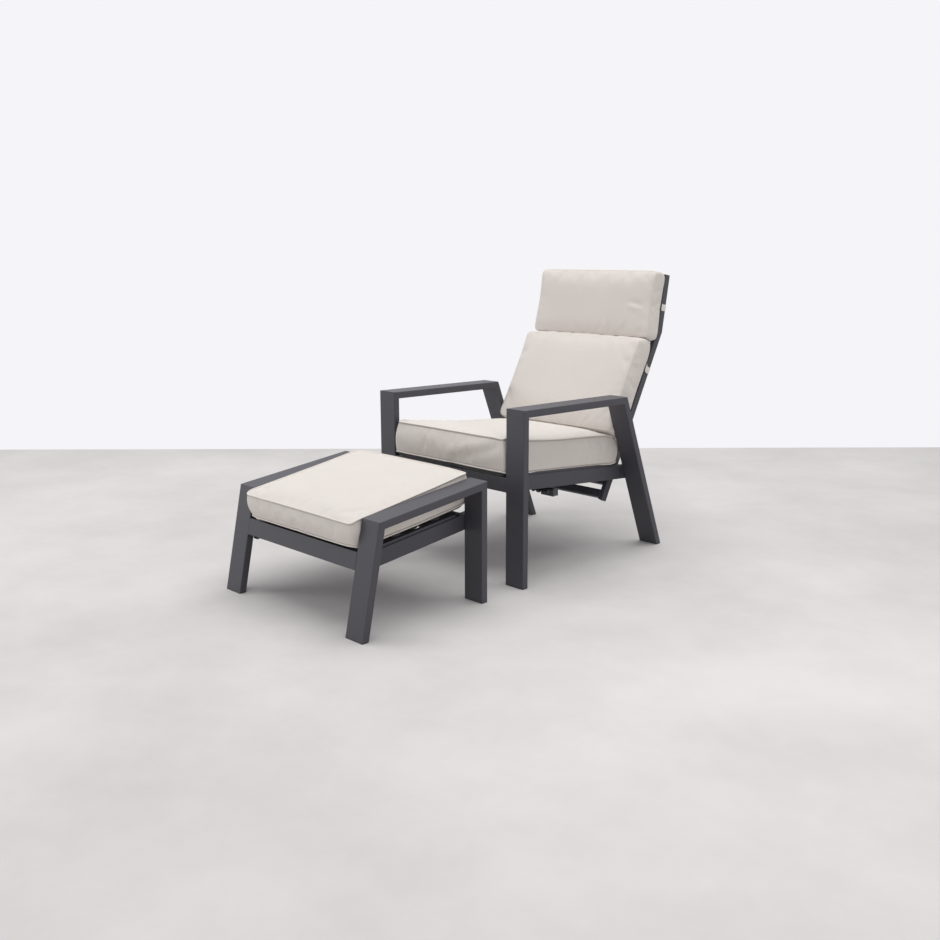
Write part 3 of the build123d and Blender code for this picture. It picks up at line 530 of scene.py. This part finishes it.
def concrete(stage):
    """Pale mottled concrete."""
    material, shader = new_shader("concrete_floor")
    place = shader.place()
    cloud = shader.noise(place, 1.1, detail=5.0, roughness=0.62)
    fleck = shader.noise(place, 14.0, detail=6.0, roughness=0.7)
    share = cloud.ramp(0.34, 0.66) * 0.75 + fleck * 0.25
    colour = shader.blend(share, opaque(stage.floor_colour, 0.88), opaque(stage.floor_colour, 1.1))
    shader.surface(Base_Color=colour, Roughness=0.75 + fleck * 0.15,
                   Normal=shader.bump(fleck, distance=0.0008, strength=0.3))
    return material


def alone(piece):
    """Select one piece and make it the active one."""
    bpy.ops.object.select_all(action="DESELECT")
    piece.select_set(True)
    bpy.context.view_layer.objects.active = piece


def apply_modifier(piece, modifier):
    """Make a modifier's result the piece's own mesh."""
    alone(piece)
    bpy.ops.object.modifier_apply(modifier=modifier.name)


def pick(mesh_part, wanted):
    """In edit mode, select only the edges or faces that a test names."""
    bpy.ops.mesh.select_mode(type="EDGE" if mesh_part == "edges" else "FACE")
    bpy.ops.mesh.select_all(action="DESELECT")
    mesh = bpy.context.object.data
    shape = bmesh.from_edit_mesh(mesh)
    for part in getattr(shape, mesh_part):
        if wanted(part):
            part.select_set(True)
    bmesh.update_edit_mesh(mesh)


def runs_along(edge, axis):
    """Whether an edge of an upright box runs along one axis."""
    step = edge.verts[1].co - edge.verts[0].co
    return abs(step[axis]) > 0.999 * step.length


def block(name, cells):
    """A box of side 1 about the origin, divided into cells along each axis."""
    bpy.ops.object.select_all(action="DESELECT")
    bpy.ops.mesh.primitive_cube_add(size=1)
    piece = bpy.context.object
    piece.name = name
    bpy.ops.object.mode_set(mode="EDIT")
    for axis, count in enumerate(cells):
        pick("edges", lambda edge, axis=axis: runs_along(edge, axis))
        bpy.ops.mesh.subdivide(number_cuts=count - 1)
    bpy.ops.object.mode_set(mode="OBJECT")
    return piece


def between(table, place, column):
    """A column's value at a place in a table, on a smooth line through the table's rows."""
    last = len(table) - 1
    index = next((i for i in range(last) if place <= table[i + 1][0]), last - 1)
    low, high = table[index], table[index + 1]
    width = high[0] - low[0]
    share = min(max((place - low[0]) / width, 0), 1)

    def slope(row):
        before, after = table[max(row - 1, 0)], table[min(row + 1, last)]
        return (after[column] - before[column]) / (after[0] - before[0])

    rise = slope(index) * width
    fall = slope(index + 1) * width
    step = high[column] - low[column]
    bend = share * (1 - share) * ((1 - share) * (rise - step) + share * (step - fall))
    return low[column] + step * share + bend


def slat_sag(form, along, aside):
    """How far the underside hangs down between the slats at a place on the bed."""
    first, pitch, count = form["slats"]
    steps = (along - first) / pitch
    gap = (steps - steps // 1) * pitch - slat_width
    if gap < 0 or steps > count - 1:
        return 0
    beside_bar = min(max((slat_bar_inner_face - aside) / bar_round, 0), 1) if steps > 0 else 1
    return form["sag"] * sin(pi * gap / (pitch - slat_width)) * beside_bar


def cushion_point(form, start_share, across, along, up):
    """A point on a cushion's skin from its shares across, along and up the box it is cut from."""
    table = form["shares"]
    first, last = form["ends"]
    bed = form["bed"]
    length = last - first
    share = table[0][0] + (table[-1][0] - table[0][0]) * along
    low, high, tilt, crown, draw = (between(table, share, column) for column in range(1, 6))
    lean = form["tilt"] * tilt
    out = bed.out * cos(lean) - bed.along * sin(lean)
    face = bed.point(0, first + length * share, form["seam"] + form["thickness"] * high)
    base = face - out * (form["thickness"] * (high - low))
    point = base.lerp(face, up)
    middle = 1 - abs(across) ** form["roundness"]
    swell = form["crown"] * crown * start_share * middle
    bulge = 4 * up * (1 - up)
    if up == 1:
        point += out * swell
    elif up == 0 and form["slats"]:
        place = first + length * share
        edge = min(form["half_width"] * (1 - abs(across)), length * (1 - along),
                   max(place - form["rests_from"], 0))
        drop = form["base_bulge"] + form["thickness"] * low
        point -= out * (drop * (1 - exp(-(edge / rim_round) ** 2)))
        point -= out * (slat_sag(form, place, form["half_width"] * abs(across))
                        * (1 - exp(-(edge / slat_round) ** 2)))
    elif up == 0:
        point -= out * (form["base_bulge"] * crown * middle)
    if along in (0, 1):
        gap = table[0][0] if along == 0 else 1 - table[-1][0]
        end = bed.along * (length * gap * bulge * (1 - side_bulge_share * across * across))
        point += end if along == 1 else -end
    half = form["half_width"] - form["bulge"] - form["draw"] * draw - form["tuck"] * (1 - up) ** 2
    half -= form["pinch"] * up * up
    if abs(across) == 1:
        half += form["bulge"] * bulge
    corner = form["corner"] * (1 - face_corner_share * up)
    inward = corner * abs(across) ** corner_power * (1 if along < 0.5 else -1)
    from_end = min(along, 1 - along)
    point += bed.along * inward * max(1 - from_end / corner_reach_share, 0)
    half -= corner * max(1 - from_end / corner_end_share, 0) ** 2
    point.x = half * across
    return point


def panel_map(piece, form):
    """A UV map in metres that lies flat on each panel of the box."""
    first, last = form["ends"]
    size = (2 * form["half_width"], last - first, form["thickness"])
    mesh = piece.data
    layer = mesh.uv_layers[0]
    layer.name = "panel"
    for face in mesh.polygons:
        axes = [axis for axis in range(3) if abs(face.normal[axis]) < 0.5]
        for loop in face.loop_indices:
            place = mesh.vertices[mesh.loops[loop].vertex_index].co
            layer.data[loop].uv = [place[axis] * size[axis] for axis in axes]


def seam_ring(places, level):
    """The vertices of one seam in order round the cushion, from their places in the box."""
    ring = []
    for index, place in enumerate(places):
        if place.z == level and max(abs(place.x), abs(place.y)) == 0.5:
            ring.append((atan2(place.y, place.x), index))
    return [index for angle, index in sorted(ring)]


def note_places(piece, form, places):
    """Keep each vertex's place in the flat pattern, its distance from the seams and its panel."""
    first, last = form["ends"]
    size = (2 * form["half_width"], last - first, form["thickness"])
    attributes = piece.data.attributes
    attributes.new("pattern", "FLOAT_VECTOR", "POINT")
    attributes.new("seam", "FLOAT", "POINT")
    attributes.new("underside", "FLOAT", "POINT")
    pattern, seam, underside = attributes["pattern"], attributes["seam"], attributes["underside"]
    for index, place in enumerate(places):
        pattern.data[index].vector = [share * side for share, side in zip(place, size)]
        on_side = max(abs(place.x), abs(place.y)) == 0.5
        # Base panels of cushions that lie on slats, which the cloth paints with near-black painted shade.
        underside.data[index].value = float(form["slats"] is not None and place.z == -0.5 and not on_side)
        start = soft_seam_start if form["sharp"] < 1 else 0
        seam.data[index].value = (0.5 - abs(place.z)) * size[2] + start if on_side else far_from_seam


def fold(piece, folds):
    """Raise or lower the cloth along folds that are laid out on its flat pattern."""
    pattern = piece.data.attributes["pattern"].data
    places = [Vector(item.vector) for item in pattern]
    normals = [vertex.normal.copy() for vertex in piece.data.vertices]
    for start, end, width, rise, raised_side in folds:
        start, end = Vector(start), Vector(end)
        run = end - start
        for vertex, place, normal in zip(piece.data.vertices, places, normals):
            share = (place - start).dot(run) / run.length_squared
            offset = place - start.lerp(end, min(max(share, 0), 1))
            reach = offset.length / width
            if reach < fold_reach:
                height = rise * exp(-reach * reach)
                if raised_side:
                    height *= step_gain * offset.dot(Vector(raised_side)) / width
                vertex.co += normal * height
    piece.data.update()


def fill(piece, form, rest, filling, pinned):
    """Blow up the cloth with the filling's pressure, and keep it near its pattern."""
    group = piece.vertex_groups.new(name="sewn")
    group.add(pinned, 1.0, "REPLACE")
    cloth = piece.modifiers.new("filling", "CLOTH")
    settings = cloth.settings
    settings.quality = 6
    settings.mass = 0.25
    settings.tension_stiffness = 18
    settings.compression_stiffness = 12
    settings.shear_stiffness = 6
    settings.bending_stiffness = 0.8
    settings.shrink_min = -0.02
    settings.use_pressure = True
    settings.uniform_pressure_force = filling.pressure
    settings.effector_weights.gravity = 0
    settings.vertex_group_mass = group.name
    cloth.point_cache.frame_start = 1
    cloth.point_cache.frame_end = filling.last_frame
    cloth.collision_settings.use_collision = False
    for number in range(1, filling.last_frame + 1):
        bpy.context.scene.frame_set(number)
    apply_modifier(piece, cloth)
    limit = filling.swell_limit
    side_limit = form["half_width"] + 0.001
    for vertex, start in zip(piece.data.vertices, rest):
        move = vertex.co - start
        if move.length > 0:
            vertex.co = start + move * (limit * tanh(move.length / limit) / move.length)
        vertex.co.x = min(max(vertex.co.x, -side_limit), side_limit)
    piece.vertex_groups.clear()


def piping(name, points, radius, material, body):
    """A piped seam: a smooth closed cord of cloth through the points of a seam."""
    line = bpy.data.curves.new(name, "CURVE")
    line.dimensions = "3D"
    line.bevel_depth = radius
    line.bevel_resolution = 2
    line.resolution_u = 2
    spline = line.splines.new("NURBS")
    spline.points.add(len(points) - 1)
    for place, point in zip(spline.points, points):
        place.co = (*point, 1)
    spline.order_u = 4
    spline.use_cyclic_u = True
    piece = bpy.data.objects.new(name, line)
    bpy.context.scene.collection.objects.link(piece)
    alone(piece)
    bpy.ops.object.convert(target="MESH")
    piece = bpy.context.object
    piece.data.materials.append(material)
    bpy.ops.object.shade_smooth()
    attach(piece, body)


def make_cushion(context, name):
    """Sew, fill and pipe one cushion."""
    settings = context.scene.lounge_chair
    form = cushion_forms[name]
    piece = block(name + "_cover", form["cells"])
    places = [vertex.co.copy() for vertex in piece.data.vertices]
    panel_map(piece, form)
    note_places(piece, form, places)
    for vertex, place in zip(piece.data.vertices, places):
        vertex.co = cushion_point(form, settings.filling.start_share, 2 * place.x, place.y + 0.5,
                                  place.z + 0.5)
    piece.data.update()
    rest = [vertex.co.copy() for vertex in piece.data.vertices]
    rings = [seam_ring(places, level) for level in (-0.5, 0.5)]
    base = [index for index, place in enumerate(places) if place.z == -0.5]
    fill(piece, form, rest, settings.filling, sorted(set(base + rings[1])))
    seams = {frozenset(pair) for ring in rings for pair in zip(ring, ring[1:] + ring[:1])}
    crease = piece.data.attributes.new("crease_edge", "FLOAT", "EDGE")
    for edge in piece.data.edges:
        if frozenset(edge.vertices) in seams:
            crease.data[edge.index].value = form["sharp"]
    piece.data.update()
    smooth = piece.modifiers.new("smooth", "SUBSURF")
    smooth.levels = 1
    smooth.render_levels = 1
    apply_modifier(piece, smooth)
    bpy.ops.object.shade_smooth()
    fold(piece, form["folds"])
    piped = form["sharp"] == 1
    radius = settings.fabric.piping_radius if piped else settings.fabric.welt_radius
    stand = radius * (piping_stand_share if piped else welt_stand_share)
    vertices = piece.data.vertices
    lines = [[vertices[index].co + vertices[index].normal * stand for index in ring] for ring in rings]
    piece.data.materials.append(bpy.data.materials["woven_cushion_cloth"])
    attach(piece, form["body"])
    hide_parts(name)
    for line, side in zip(lines, ("base", "face")):
        piping(f"{name}_{side}_piping", line, radius, bpy.data.materials["piping_fabric"], form["body"])


def ribbon(name, path, width):
    """A flat band of cloth that stands on edge along a path in the XZ plane of its own place."""
    bpy.ops.object.select_all(action="DESELECT")
    bpy.ops.mesh.primitive_plane_add(size=1)
    piece = bpy.context.object
    piece.name = name
    corners = [(path[0], -1), (path[1], -1), (path[0], 1), (path[1], 1)]
    for vertex, ((x, z), side) in zip(piece.data.vertices, corners):
        vertex.co = (x, side * width / 2, z)
    bpy.ops.object.mode_set(mode="EDIT")
    for (x, z), (next_x, next_z) in zip(path[1:], path[2:]):
        pick("edges", lambda edge: all(abs(v.co.x - x) < 1e-6 and abs(v.co.z - z) < 1e-6 for v in edge.verts))
        bpy.ops.mesh.extrude_region_move(
            TRANSFORM_OT_translate={"value": (next_x - x, 0, next_z - z)})
    bpy.ops.object.mode_set(mode="OBJECT")
    return piece


def make_strap(context, name, bed, along, side):
    """A strap from a cushion's rear seam round a stile and back to the cushion's rear face."""
    settings = context.scene.lounge_chair.straps
    gap = strap_gap + settings.thickness / 2
    outer = stile_outer_face + gap
    inner = stile_outer_face - stile_width - gap
    reach = stile_depth / 2 + gap
    path = [(strap_seam_place, back_seam_ahead + strap_seam_ahead),
            (outer + strap_bend, reach + strap_bend / 2), (outer, reach - strap_bend * 4 / 3),
            (outer, -reach + strap_bend), (outer - strap_bend, -reach), (inner + strap_bend, -reach),
            (inner, -reach + strap_bend), (inner, reach - strap_bend * 2 / 3),
            (inner - strap_bend, reach + strap_bend / 3),
            (inner - strap_sewn_length, back_seam_ahead - strap_sewn_behind)]
    piece = ribbon(name, path, settings.width)
    for kind, values in (("SOLIDIFY", {"thickness": settings.thickness, "offset": 0.0}),
                         ("BEVEL", {"width": settings.thickness * 0.3, "segments": 2,
                                    "limit_method": "ANGLE"})):
        modifier = piece.modifiers.new(kind.lower(), kind)
        for key, value in values.items():
            setattr(modifier, key, value)
        apply_modifier(piece, modifier)
    piece.data.transform(bed.matrix(0, along, 0))
    if side < 0:
        piece.data.transform(Matrix.Scale(-1, 4, (1, 0, 0)))
        piece.data.flip_normals()
    alone(piece)
    bpy.ops.object.shade_smooth_by_angle(angle=radians(35))
    piece.data.materials.append(bpy.data.materials["piping_fabric"])
    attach(piece, "back")


class LOUNGE_OT_finishes(bpy.types.Operator):
    """Give every frame piece its finish"""

    bl_idname = "lounge_chair.finishes"
    bl_label = "Frame finishes"

    def execute(self, context):
        settings = context.scene.lounge_chair
        finishes = {
            "anthracite_powder_coat": powder_coat(settings.coating),
            "black_plastic": black_plastic(settings.coating),
            "chromed_rod": chromed_rod(),
            "black_steel": black_steel(),
            "zinc_steel": zinc_steel(),
            "cushion_fabric": cushion_cloth(settings.fabric),
        }
        piping_cloth(settings.fabric)
        for part in frame["record"]["subparts"]:
            piece = frame["nodes"][part["node"]]
            for slot in piece.material_slots:
                slot.material = finishes[part["material_slot"]]
        return {"FINISHED"}


class LOUNGE_OT_seat_cushion(bpy.types.Operator):
    """Sew and fill the seat cushion"""

    bl_idname = "lounge_chair.seat_cushion"
    bl_label = "Seat cushion"

    def execute(self, context):
        make_cushion(context, "seat_cushion")
        return {"FINISHED"}


class LOUNGE_OT_back_cushions(bpy.types.Operator):
    """Sew and fill the two parts of the back cushion"""

    bl_idname = "lounge_chair.back_cushions"
    bl_label = "Back cushions"

    def execute(self, context):
        make_cushion(context, "back_cushion")
        make_cushion(context, "head_cushion")
        return {"FINISHED"}


class LOUNGE_OT_stool_cushion(bpy.types.Operator):
    """Sew and fill the footstool's cushion"""

    bl_idname = "lounge_chair.stool_cushion"
    bl_label = "Footstool cushion"

    def execute(self, context):
        make_cushion(context, "stool_cushion")
        return {"FINISHED"}


class LOUNGE_OT_straps(bpy.types.Operator):
    """Make the straps that hold the back cushions to the stiles"""

    bl_idname = "lounge_chair.straps"
    bl_label = "Cushion straps"

    def execute(self, context):
        settings = context.scene.lounge_chair.straps
        for side, word in ((1, "left"), (-1, "right")):
            make_strap(context, f"{word}_lower_strap", back_bed, settings.lower_place, side)
            make_strap(context, f"{word}_upper_strap", head_bed, settings.upper_place, side)
        return {"FINISHED"}


class LOUNGE_OT_stage(bpy.types.Operator):
    """Lay the floor, light the room and place the camera"""

    bl_idname = "lounge_chair.stage"
    bl_label = "Stage"

    def execute(self, context):
        stage = context.scene.lounge_chair.stage
        self.lay_floor(stage)
        self.light_room(context, stage)
        self.place_camera(context, stage)
        context.scene.view_settings.view_transform = "Standard"
        return {"FINISHED"}

    def lay_floor(self, stage):
        """A floor whose far edge is the line where it meets the wall."""
        heading = Vector((-sin(stage.camera_heading), cos(stage.camera_heading), 0))
        aside = Vector((heading.y, -heading.x, 0))
        camera = Vector(stage.camera_place)
        camera.z = -floor_drop
        bpy.ops.object.select_all(action="DESELECT")
        bpy.ops.mesh.primitive_plane_add(size=2)
        floor = bpy.context.object
        floor.name = "floor"
        corners = [(floor_near, -1), (floor_near, 1), (floor_far, -1), (floor_far, 1)]
        for vertex, (ahead, side) in zip(floor.data.vertices, corners):
            vertex.co = camera + heading * ahead + aside * (side * floor_half_width)
        floor.data.materials.append(concrete(stage))

    def light_room(self, context, stage):
        """Even light from all round, a large lamp overhead and a soft one on each side."""
        world = bpy.data.worlds.new("room")
        world.use_nodes = True
        context.scene.world = world
        shader = Shader(world.node_tree)
        rays = [shader.node("ShaderNodeLightPath", output=kind)
                for kind in ("Is Camera Ray", "Is Glossy Ray", "Is Transmission Ray")]
        seen = rays[0].larger(rays[1]).larger(rays[2])
        room = shader.node("ShaderNodeBackground", values={
            "Color": opaque((1, 1, 1)), "Strength": stage.sky_light})
        wall = shader.node("ShaderNodeBackground", values={
            "Color": opaque(stage.wall_colour), "Strength": 1.0})
        mixed = shader.node("ShaderNodeMixShader", values={0: seen, 1: room, 2: wall})
        shader.node_output("ShaderNodeOutputWorld", mixed)
        self.add_lamp("ceiling_lamp", place=(0.3, 0.6, 6.0), target=(0, 0, 0.3), size=6.0,
                      power=stage.ceiling_power)
        self.add_lamp("left_lamp", place=(-3.2, -3.4, 1.9), target=(0, -0.3, 0.3), size=1.8,
                      power=stage.left_power)
        self.add_lamp("right_lamp", place=(3.0, -0.5, 1.7), target=(0, 0.1, 0.5), size=1.6,
                      power=stage.right_power)

    def add_lamp(self, name, place, target, size, power):
        """A square lamp at a place that looks at a target."""
        bpy.ops.object.select_all(action="DESELECT")
        turn = (Vector(target) - Vector(place)).to_track_quat("-Z", "Y").to_euler()
        bpy.ops.object.light_add(type="AREA", location=place, rotation=turn)
        lamp = bpy.context.object
        lamp.name = name
        lamp.data.shape = "SQUARE"
        lamp.data.size = size
        lamp.data.energy = power

    def place_camera(self, context, stage):
        """A camera at the photograph's viewing angle."""
        heading, pitch, roll = stage.camera_heading, stage.camera_pitch, stage.camera_roll
        ahead = Vector((-sin(heading) * cos(pitch), cos(heading) * cos(pitch), -sin(pitch)))
        right = Vector((cos(heading), sin(heading), 0))
        above = right.cross(ahead)
        across = right * cos(roll) + above * sin(roll)
        upright = above * cos(roll) - right * sin(roll)
        turn = Matrix((across, upright, -ahead)).transposed().to_4x4()
        data = bpy.data.cameras.new("camera")
        data.sensor_width = 36
        data.lens = stage.lens
        camera = bpy.data.objects.new("camera", data)
        context.scene.collection.objects.link(camera)
        camera.matrix_world = Matrix.Translation(Vector(stage.camera_place)) @ turn
        context.scene.camera = camera


class LOUNGE_PT_panel(bpy.types.Panel):
    """Lists the pieces and their settings"""

    bl_idname = "LOUNGE_PT_panel"
    bl_label = "Lounge chair with footstool"
    bl_space_type = "VIEW_3D"
    bl_region_type = "UI"
    bl_category = "Lounge chair"

    def draw(self, context):
        settings = context.scene.lounge_chair
        for title, group, operators in (
                ("Finishes", settings.coating, ("finishes",)),
                ("Cloth", settings.fabric, ()),
                ("Filling", settings.filling, ("seat_cushion", "back_cushions", "stool_cushion")),
                ("Straps", settings.straps, ("straps",)),
                ("Stage", settings.stage, ("stage",))):
            box = self.layout.box()
            box.label(text=title)
            for name in group.__annotations__:
                box.prop(group, name)
            for name in operators:
                box.operator("lounge_chair." + name)


classes = (CoatingSettings, FabricSettings, FillingSettings, StrapSettings, StageSettings,
           LoungeChairSettings, LOUNGE_OT_finishes, LOUNGE_OT_seat_cushion, LOUNGE_OT_back_cushions,
           LOUNGE_OT_stool_cushion, LOUNGE_OT_straps, LOUNGE_OT_stage, LOUNGE_PT_panel)


def register():
    for kind in classes:
        bpy.utils.register_class(kind)
    bpy.types.Scene.lounge_chair = PointerProperty(type=LoungeChairSettings)


def unregister():
    del bpy.types.Scene.lounge_chair
    for kind in reversed(classes):
        bpy.utils.unregister_class(kind)


def main():
    """Dress the frame."""
    register()
    bpy.ops.lounge_chair.stage()
    bpy.ops.lounge_chair.finishes()
    bpy.ops.lounge_chair.seat_cushion()
    bpy.ops.lounge_chair.back_cushions()
    bpy.ops.lounge_chair.stool_cushion()
    bpy.ops.lounge_chair.straps()


if __name__ == "__main__":
    main()
